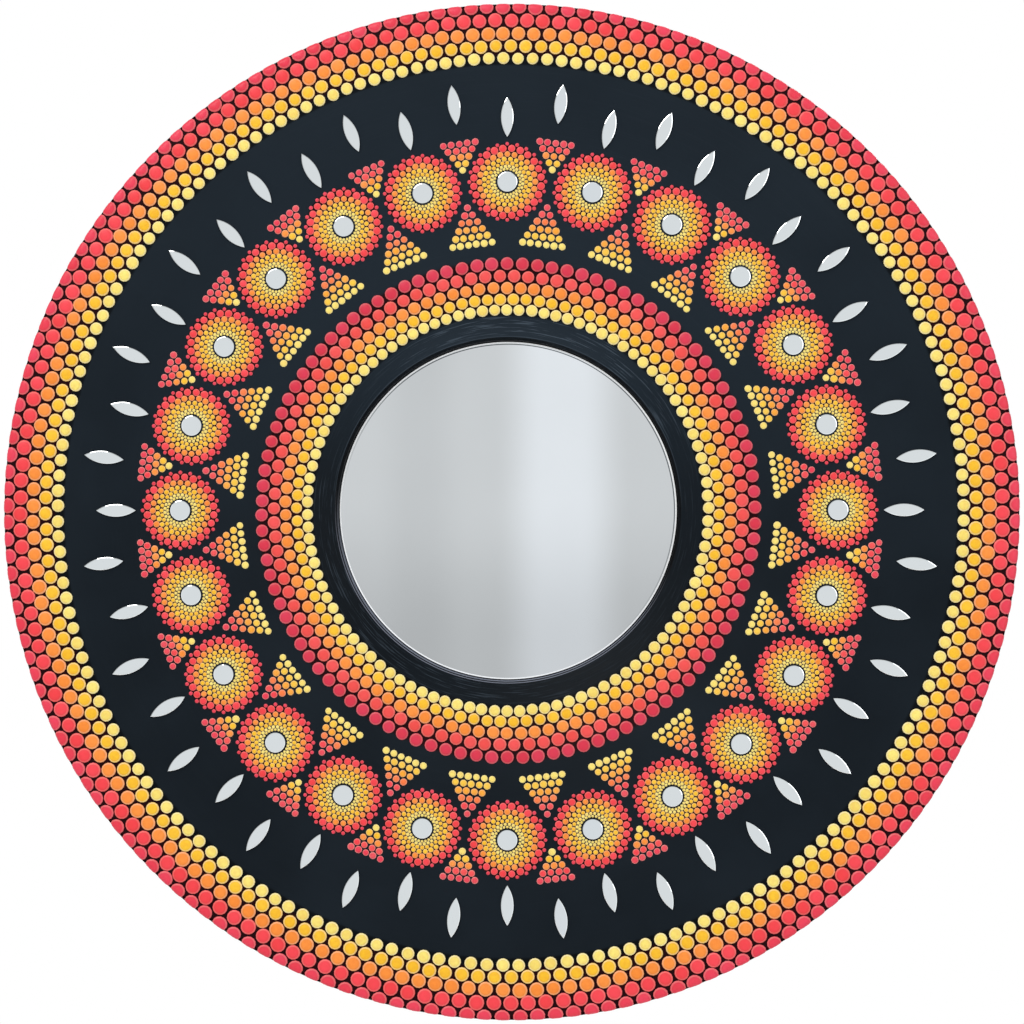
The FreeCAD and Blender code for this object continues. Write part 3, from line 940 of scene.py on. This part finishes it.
class RoundelDots(bpy.types.Operator):
    """Set the rings of small dots of each roundel, and the stacks of dots between the roundels"""

    bl_idname = "mirror.roundel_dots"
    bl_label = "Roundels and stacks"

    def execute(self, context):
        band = context.scene.mirror_band
        dots = context.scene.mirror_dots
        drop = dot_mesh(SMALL_DOT, sides=10)
        shared = {"copies": band.roundels, "size_spread": SMALL_SPREAD * dots.size_spread}
        for number, hue in enumerate(ROUNDEL_COLOURS):
            piece = ring_of_dots(
                "roundel_ring_%d" % (number + 1),
                drop,
                band,
                "ring",
                number,
                centre_radius=band.circle_radius,
                seed=SEEDS["roundel"] + SEED_STEP * number,
                finish=dot_paint("roundel_paint_%d" % (number + 1), getattr(dots, hue)),
                **shared,
            )
            settle(piece, "paint_" + hue, "roundels")
        stacks = (("inner_stacks", "amber", RIM_COLOURS[::-1]), ("outer_stacks", "orange", RIM_COLOURS))
        for number, (node, slot, hues) in enumerate(stacks):
            piece = grown(
                node + "_painted",
                drop.copy(),
                "dots_in_stacks",
                tip_radius=band.stack_tips[number],
                row_step=band.stack_steps[number],
                pitch=band.stack_pitch,
                rows=band.stack_rows[number],
                first_turn=pi / band.roundels,
                diameter=band.stack_dot,
                rise=band.rise,
                level=FACE,
                place_spread=dots.place_spread,
                seed=SEEDS["stack"] + SEED_STEP * number,
                finish=graded_paint(node + "_paint", hues),
                **shared,
            )
            settle(piece, "paint_" + slot, node)
        return {"FINISHED"}


# A small mirror's edges are sharp where they turn by more degrees than this, which keeps its face flat
MIRROR_SHARP = 10
# Faces of a small mirror that lean less than this towards the front or the back are its cut sides
CUT_LEAN = 0.2
# Points along one side of a leaf
LEAF_STEPS = 12


def leaf_outline(start, run, width):
    """Points of a leaf's edge, up one side and back along the other."""
    side_radius = ((run / 2) ** 2 + (width / 2) ** 2) / width
    half = asin(run / 2 / side_radius)
    points = []
    for side in (1, -1):
        for step in range(LEAF_STEPS):
            turn = side * half * (2 * step / LEAF_STEPS - 1)
            across = side * (side_radius * cos(turn) - side_radius + width / 2)
            points.append((start + run / 2 + side_radius * sin(turn), across))
    return points


def round_mirror(sizes, place):
    """A round mirror, bevelled, its middle at a radius from the mirror's axis."""
    radius = sizes.round_diameter / 2
    front = FACE - sizes.thickness
    face = [(0, front), (radius - sizes.bevel, front)]
    side = [(radius, front + sizes.bevel_depth), (radius, FACE), (0, FACE)]
    mesh = mesh_of("disc", lathe(face + side, sides=48), MIRROR_SHARP)
    mesh.transform(Matrix.Translation((place, 0, 0)))
    return mesh


def leaf_mirror(sizes, start):
    """A slip of mirror with two arc-shaped sides that meet in points, bevelled all round."""
    front = FACE - sizes.thickness
    tip_bevel = 2.5 * sizes.bevel
    outer = leaf_outline(start, sizes.leaf_length, sizes.leaf_width)
    flat_length, flat_width = sizes.leaf_length - 2 * tip_bevel, sizes.leaf_width - 2 * sizes.bevel
    inner = leaf_outline(start + tip_bevel, flat_length, flat_width)
    levels = ((outer, FACE), (outer, front + sizes.bevel_depth), (inner, front))
    shape = bmesh.new()
    loops = [[shape.verts.new((x, level, z)) for x, z in outline] for outline, level in levels]
    join_loops(shape, loops, capped=True)
    return mesh_of("leaf", shape, MIRROR_SHARP)


class SmallMirrors(bpy.types.Operator):
    """Glue on the small round mirrors and the leaf-shaped mirrors"""

    bl_idname = "mirror.small_mirrors"
    bl_label = "Small mirrors"

    def execute(self, context):
        sizes = context.scene.mirror_mirrors
        band = context.scene.mirror_band
        finish = silver("small_silver", sizes.small_silver)
        cut = cut_edge()
        for node, mesh, turn in (
            ("round_mirrors", round_mirror(sizes, band.circle_radius), 0.0),
            ("leaf_mirrors_inner", leaf_mirror(sizes, sizes.inner_leaf_start), 0.0),
            ("leaf_mirrors_outer", leaf_mirror(sizes, sizes.outer_leaf_start), pi / band.roundels),
        ):
            piece = copied_round(node + "_cut", mesh, band.roundels, turn, finish)
            piece.data.materials.append(cut)
            for face in piece.data.polygons:
                if abs(face.normal.y) < CUT_LEAN:
                    face.material_index = len(piece.data.materials) - 1
            settle(piece, "small_mirror", node)
        return {"FINISHED"}


class Glass(bpy.types.Operator):
    """Make the mirror glass with its ground edge, and the foam pads behind it"""

    bl_idname = "mirror.glass"
    bl_label = "Glass"

    def execute(self, context):
        sizes = context.scene.mirror_mirrors
        front, back = GLASS_LOW.y, GLASS_HIGH.y
        face_radius = GLASS_RADIUS - sizes.arris
        soft = 0.12 * MM
        # How far inside the ground edge the painted shade line runs
        shade_line_inset = 0.6 * MM
        corners = [
            (0, front),
            (face_radius, front),
            (GLASS_RADIUS - soft, front + sizes.arris_depth),
            (GLASS_RADIUS, front + sizes.arris_depth + soft),
            (GLASS_RADIUS, back),
            (0, back),
        ]
        finishes = (silver("mirror_silver", sizes.silver, face_radius - shade_line_inset), ground_glass())
        mesh = mesh_of("glass_silvered", lathe(corners, sides=192), sharp_degrees=15, materials=finishes)
        for face in mesh.polygons:
            face.material_index = int(hypot(face.center.x, face.center.z) > face_radius)
        settle(linked("glass_silvered", mesh), "mirror_glass", "glass")
        dress("glass_pads", pad_foam())
        return {"FINISHED"}


# Screws, which look along +Y with their heads

PANEL_SCREWS = 6
POINT_LENGTH = 3 * MM
POINT_TIP = 0.1 * MM
HEAD_CHAMFER = 0.15 * MM
SCREW_SIDES = 28
SCREW_SHARP = 30
SQUARE = ((-1, -1), (1, -1), (1, 1), (-1, 1))


def wood_screw(name, sizes, head, tip):
    """A wood screw of its head's corners, a plain shank and a point, with a cross cut into its head."""
    corners = [*head, (sizes.screw_shank / 2, tip + POINT_LENGTH), (POINT_TIP, tip), (0, tip)]
    screw = linked(name, mesh_of(name, lathe(corners, SCREW_SIDES)))
    cross = linked("recess", cross_shape(head[0][1], sizes.recess))
    cut = screw.modifiers.new("Recess", "BOOLEAN")
    cut.operation = "DIFFERENCE"
    cut.solver = "EXACT"
    cut.use_self = True
    cut.object = cross
    mesh = plain_mesh(screw)
    bpy.data.objects.remove(cross)
    bpy.data.objects.remove(screw)
    mesh.shade_smooth()
    mesh.set_sharp_from_angle(angle=radians(SCREW_SHARP))
    return mesh


def cross_shape(level, size):
    """Two crossed bars about a level, which taper downwards, as the point of a driver does."""
    depth = 0.42 * size
    half_web = 0.11 * size
    taper = 0.55
    widest = 1.2
    shape = bmesh.new()
    for turn in (0, pi / 2):
        bar = []
        for y, grow in ((level - depth, 1 - taper), (level + depth, 1 + taper)):
            along, aside = size / 2 * grow, half_web * min(grow, widest)
            bar.append([shape.verts.new((x * along, y, z * aside)) for x, z in SQUARE])
        join_loops(shape, bar, capped=True)
        bmesh.ops.rotate(shape, verts=bar[0] + bar[1], cent=(0, 0, 0), matrix=Matrix.Rotation(turn, 3, "Y"))
    return mesh_of("recess", shape)


class Back(bpy.types.Operator):
    """Finish the back panel and set its six countersunk screws"""

    bl_idname = "mirror.back"
    bl_label = "Back panel and screws"

    def execute(self, context):
        sizes = context.scene.mirror_hangers
        dress("back_panel", panel_paint())
        low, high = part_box("panel_screws")
        radius, shank = sizes.screw_head / 2, sizes.screw_shank / 2
        neck = high.y - (radius - shank)
        head = [
            (0, high.y),
            (radius - HEAD_CHAMFER, high.y),
            (radius, high.y - HEAD_CHAMFER),
            (shank, neck - HEAD_CHAMFER),
        ]
        screw = wood_screw("panel_screw", sizes, head, low.y)
        screw.transform(Matrix.Translation((high.z - radius, 0, 0)))
        finish = plated("screw_zinc", sizes.zinc, 0.28)
        piece = copied_round("panel_screws_turned", screw, PANEL_SCREWS, pi / PANEL_SCREWS, finish)
        settle(piece, "screw_steel", "panel_screws")
        return {"FINISHED"}


# How finely each stretch of the strap's path is divided
LOWER_STEPS = 14
KNUCKLE_STEPS = 26
BEND_STEPS = 8
UPPER_STEPS = 12


def drop_to_screw(sizes):
    """How far under the ring's axis the screw stands, clear of the ring hanging down."""
    clearance = 0.8 * MM
    reach = sizes.ring_side_drop + sizes.ring_half_width
    return reach + sizes.wire / 2 + sizes.screw_head / 2 + clearance


def strap_path(sizes, end):
    """The strap's middle line, as (drop, rise): up the lower leaf, round the wire and down the upper one."""
    sheet = sizes.sheet
    inner = sizes.wire / 2 + sizes.wire_gap
    lift = inner + sheet
    middle = inner + sheet / 2
    upper = 2 * sheet + sizes.fold_gap
    between_bends = middle + sizes.bend_radius + sheet / 2
    bend_lift = upper + sizes.bend_radius
    bend_drop = sqrt(between_bends ** 2 - (bend_lift - lift) ** 2)
    meet = degrees(asin((bend_lift - lift) / between_bends))
    points = [(end - end * step / LOWER_STEPS, sheet / 2) for step in range(LOWER_STEPS)]
    points += arc((0, lift), middle, -90, meet - 360, KNUCKLE_STEPS)
    bend_centre = (bend_drop, bend_lift)
    points += arc(bend_centre, sizes.bend_radius + sheet / 2, meet - 180, -90, BEND_STEPS)[1:]
    for step in range(1, UPPER_STEPS + 1):
        points.append((bend_drop + (end - bend_drop) * step / UPPER_STEPS, upper - sheet / 2))
    return points


def strap_half_width(sizes, drop, end):
    """Half the strap's width at a drop: narrow at the knuckle, round at the screw's end."""
    knuckle, wide = sizes.knuckle_width / 2, sizes.strap_width / 2
    taper_start = sizes.wire / 2 + sizes.wire_gap + sizes.sheet
    share_wide = min(max((drop - taper_start) / sizes.taper, 0.0), 1.0)
    past = max(drop - (end - wide), 0.0)
    flat_end = 0.16 * wide
    rounded = sqrt(max(wide ** 2 - past ** 2, flat_end ** 2))
    return min(knuckle + (wide - knuckle) * share_wide, rounded)


def bent_strap(sizes, pivot, side, steel):
    """A strip folded round the ring's straight side, both leaves pressed together."""
    half_sheet = sizes.sheet / 2
    end = drop_to_screw(sizes) + sizes.strap_width / 2
    path = strap_path(sizes, end)
    shape = bmesh.new()
    bars = []
    for index, (drop, rise) in enumerate(path):
        before, after = path[max(index - 1, 0)], path[min(index + 1, len(path) - 1)]
        along = Vector((after[0] - before[0], after[1] - before[1])).normalized()
        half = strap_half_width(sizes, drop, end)
        bar = []
        for x, under in SQUARE:
            down = drop + along.y * under * half_sheet
            level = rise - along.x * under * half_sheet
            bar.append(shape.verts.new((pivot.x + x * half, SEAT + level, pivot.z - down)))
        bars.append(bar)
    join_loops(shape, bars, capped=True)
    mesh = mesh_of("strap", shape, sharp_degrees=30, materials=[steel])
    piece = linked("hanger_strap_%s_bent" % side, mesh)
    bevel = piece.modifiers.new("Edges", "BEVEL")
    bevel.width = 0.12 * MM
    bevel.segments = 2
    bevel.limit_method = "ANGLE"
    bevel.angle_limit = radians(50)
    made_plain(piece)
    piece.data.set_sharp_from_angle(angle=radians(35))
    return piece


def bent_ring(sizes, pivot, side, steel):
    """Round wire bent to a D, its ends butted inside the knuckle, lying back on the strap."""
    half, corner, wire = sizes.ring_half_width, sizes.ring_corner, sizes.wire / 2
    end_gap = 0.15 * MM
    right = [(end_gap, 0.0)] + arc((half - corner, corner), corner, -90, 0, steps=8)
    bow = arc((0, sizes.ring_side_drop), half, 0, 180, steps=32)
    left = [(-x, down) for x, down in reversed(right)]
    points = right + bow + left
    curve = bpy.data.curves.new("ring_path", "CURVE")
    curve.dimensions = "3D"
    curve.bevel_depth = wire
    curve.bevel_resolution = 4
    curve.use_fill_caps = True
    line = curve.splines.new("POLY")
    line.points.add(len(points) - 1)
    for point, (x, down) in zip(line.points, points):
        point.co = (x, 0, -down, 1)
    source = linked("ring_path", curve)
    mesh = plain_mesh(source)
    bpy.data.objects.remove(source)
    low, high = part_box("hanger_ring_" + side)
    tilt = atan2(high.y - wire - pivot.y, pivot.z - low.z - wire)
    mesh.transform(Matrix.Translation(pivot) @ Matrix.Rotation(tilt, 4, "X"))
    shape = bmesh.new()
    shape.from_mesh(mesh)
    bmesh.ops.remove_doubles(shape, verts=shape.verts, dist=1e-6)
    mesh = mesh_of("ring", shape, sharp_degrees=60, materials=[steel])
    return linked("hanger_ring_%s_bent" % side, mesh)


def pan_head_screw(sizes, pivot):
    """A pan-head wood screw through the strap's two leaves."""
    low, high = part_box("hanger_screws")
    radius, top = sizes.screw_head / 2, high.y
    under = SEAT + 2 * sizes.sheet + sizes.fold_gap
    edge_height = 0.5 * MM
    edge_share = 0.35
    head = [(0, top), (0.3 * radius, top - 0.02 * MM)]
    for turn in (0.7, 0.95, 1.2, 1.4):
        head.append((radius * sin(turn), under + (top - under) * (edge_share + (1 - edge_share) * cos(turn))))
    head += [(radius, under + edge_height), (radius, under), (sizes.screw_shank / 2, under)]
    mesh = wood_screw("pan_head", sizes, head, low.y)
    mesh.transform(Matrix.Translation((pivot.x, 0, pivot.z - drop_to_screw(sizes))))
    return mesh


class Hangers(bpy.types.Operator):
    """Make the strap hangers with their D-rings and their pan-head screws"""

    bl_idname = "mirror.hangers"
    bl_label = "Hangers"

    def execute(self, context):
        sizes = context.scene.mirror_hangers
        steel = plated("hanger_nickel", sizes.steel, 0.24)
        wire = plated("ring_nickel", sizes.steel, 0.16, 1500.0)
        zinc = plated("hanger_screw_zinc", sizes.zinc, 0.26)
        joints = {joint["child"]: joint for joint in frame["joints"]}
        screws = bmesh.new()
        for side in ("left", "right"):
            pivot = Vector(joints[side + "_ring"]["pos_m"])
            strap = bent_strap(sizes, pivot, side, steel)
            settle(strap, "hanger_steel", "hanger_strap_" + side)
            ring = bent_ring(sizes, pivot, side, wire)
            settle(ring, "ring_steel", "hanger_ring_" + side, body=side + "_ring")
            screws.from_mesh(pan_head_screw(sizes, pivot))
        both = mesh_of("hanger_screws_turned", screws, SCREW_SHARP, [zinc])
        settle(linked("hanger_screws_turned", both), "screw_steel", "hanger_screws")
        return {"FINISHED"}


# Name, place, size, power and colour of each lamp
LAMPS = (
    ("key", (-1.1, -2.0, 1.9), 1.6, 40.0, (1.0, 0.99, 0.97)),
    ("fill", (1.8, -2.0, 0.6), 1.6, 12.0, (0.97, 0.98, 1.0)),
    ("back_light", (0.8, 2.4, 1.6), 1.6, 26.0, (1.0, 1.0, 1.0)),
)
# Left side, right side and softness of the upright bands on the screen that the glass shows, in metres
BRIGHT_BAND = (-0.118, 0.046, 0.048)
DIM_BAND = (-0.36, -0.25, 0.04)
# Where the part of the screen that the glass shows has its middle
SCREEN_MIDDLE = (-0.14, 0.06)


def set_floor(studio):
    """A round sheet of pale paper."""
    thickness = 0.01
    corners = [(0, 0), (studio.floor_radius, 0), (studio.floor_radius, thickness), (0, thickness)]
    material, place = new_material("floor_paper", roughness=0.7, specular_ior_level=0.2)
    surfaced(material, mixed(noise(place, 300.0), (0.86, 0.86, 0.86, 1.0), (0.9, 0.9, 0.9, 1.0)))
    mesh = mesh_of("floor", lathe(corners, sides=96), sharp_degrees=40, materials=[material])
    mesh.transform(Matrix.Translation((0, 0, -studio.floor_drop)) @ Matrix.Rotation(-pi / 2, 4, "X"))
    linked("floor", mesh)


def set_screen(studio):
    """A soft grey screen in front of the mirror, which is what the glass shows."""
    material = bpy.data.materials.new("screen_grey")
    material.use_nodes = True
    tree = material.node_tree
    tree.nodes.clear()
    place = put("ShaderNodeTexCoord", tree=tree, output="Object")
    across, _, up = separated(place)
    bright = between(across, *BRIGHT_BAND)
    cloud = ranged(noise(place, 2.0, 1.0), 0.3, 0.7, -0.012, 0.012)
    inner = 0.70 + bright * 0.215 + between(across, *DIM_BAND) * -0.052 + cloud
    inner = inner * ranged(up, -0.19, 0.09, 0.80, 1.02)
    away = distance(across - SCREEN_MIDDLE[0], up - SCREEN_MIDDLE[1])
    far = ranged(away, 0.36, 0.5)
    lean = ranged(across * 0.6 - up * 0.8, -1.5, 1.5, -0.3, 0.3)
    shiny = put("ShaderNodeLightPath", tree=tree, output="Is Glossy Ray")
    strength = inner * (1.0 - far) + far * 0.78 + ranged(away, 1.0, 1.5) * lean * shiny
    cool = mixed(bright, (0.957, 0.985, 1.0, 1.0), (0.930, 0.965, 1.0, 1.0))
    glow = put("ShaderNodeEmission", cool, strength)
    fill(tree.nodes.new("ShaderNodeOutputMaterial").inputs[0], glow)
    shape = bmesh.new()
    bmesh.ops.create_grid(shape, x_segments=1, y_segments=1, size=2.4)
    mesh = mesh_of("screen", shape, materials=[material])
    centre = (0, -studio.screen_distance, 0.1)
    mesh.transform(Matrix.Translation(centre) @ Matrix.Rotation(-pi / 2, 4, "X"))
    screen = linked("screen", mesh)
    screen.visible_camera = False


def set_lamps():
    for name, place, size, power, tint in LAMPS:
        lamp = bpy.data.lights.new(name, "AREA")
        lamp.size = size
        lamp.energy = power
        lamp.color = tint
        holder = linked(name, lamp)
        holder.location = place
        holder.rotation_euler = (-Vector(place)).to_track_quat("-Z", "Y").to_euler()


def set_surroundings(context):
    """White where the camera, metal or glass looks past the object, and a plain soft light for the rest."""
    world = bpy.data.worlds.new("surroundings")
    context.scene.world = world
    world.use_nodes = True
    tree = world.node_tree
    tree.nodes.clear()
    camera, glossy, clear = (
        put("ShaderNodeLightPath", tree=tree, output="Is %s Ray" % kind)
        for kind in ("Camera", "Glossy", "Transmission")
    )
    seen = maths("MINIMUM", camera + glossy + clear, 1.0)
    plain, white = (put("ShaderNodeBackground", WHITE, light, tree=tree) for light in (0.52, 1.0))
    fill(tree.nodes.new("ShaderNodeOutputWorld").inputs[0], put("ShaderNodeMixShader", seen, plain, white))


def set_camera(context, studio):
    camera = bpy.data.cameras.new("camera")
    holder = linked("camera", camera)
    flat = cos(studio.pitch)
    away = Vector((sin(studio.yaw) * flat, -cos(studio.yaw) * flat, -sin(studio.pitch)))
    holder.location = Vector((0, FACE, 0)) + away * studio.distance
    holder.rotation_euler = (-away).to_track_quat("-Z", "Y").to_euler()
    camera.sensor_width = 36.0
    camera.lens = camera.sensor_width * studio.distance / studio.view_width
    camera.shift_x = studio.shift_x
    camera.shift_y = studio.shift_y
    camera.clip_start = 0.05
    context.scene.camera = holder
    context.scene.view_settings.view_transform = "Standard"


class Studio(bpy.types.Operator):
    """Set the pale floor, the soft grey screen, the lamps, the white surroundings and the camera"""

    bl_idname = "mirror.studio"
    bl_label = "Studio"

    def execute(self, context):
        studio = context.scene.mirror_studio
        set_floor(studio)
        set_screen(studio)
        set_lamps()
        set_surroundings(context)
        set_camera(context, studio)
        return {"FINISHED"}


PIECES = (PaintBoard, RowDots, RoundelDots, SmallMirrors, Glass, Back, Hangers, Studio)


class MirrorPanel(bpy.types.Panel):
    bl_idname = "VIEW3D_PT_hand_painted_mirror"
    bl_label = "Hand-painted Mirror"
    bl_space_type = "VIEW_3D"
    bl_region_type = "UI"
    bl_category = "Mirror"

    def draw(self, context):
        for group, settings in SETTINGS.items():
            box = self.layout.box()
            for name in settings.__annotations__:
                box.prop(getattr(context.scene, group), name)
        for piece in PIECES:
            self.layout.operator(piece.bl_idname)


CLASSES = (*SETTINGS.values(), *PIECES, MirrorPanel)


def register():
    for part in CLASSES:
        bpy.utils.register_class(part)
    for group, settings in SETTINGS.items():
        setattr(bpy.types.Scene, group, PointerProperty(type=settings))


def unregister():
    for group in SETTINGS:
        delattr(bpy.types.Scene, group)
    for part in reversed(CLASSES):
        bpy.utils.unregister_class(part)


def main():
    register()
    bpy.ops.mirror.board()
    bpy.ops.mirror.row_dots()
    bpy.ops.mirror.roundel_dots()
    bpy.ops.mirror.small_mirrors()
    bpy.ops.mirror.glass()
    bpy.ops.mirror.back()
    bpy.ops.mirror.hangers()
    bpy.ops.mirror.studio()


if __name__ == "__main__":
    main()
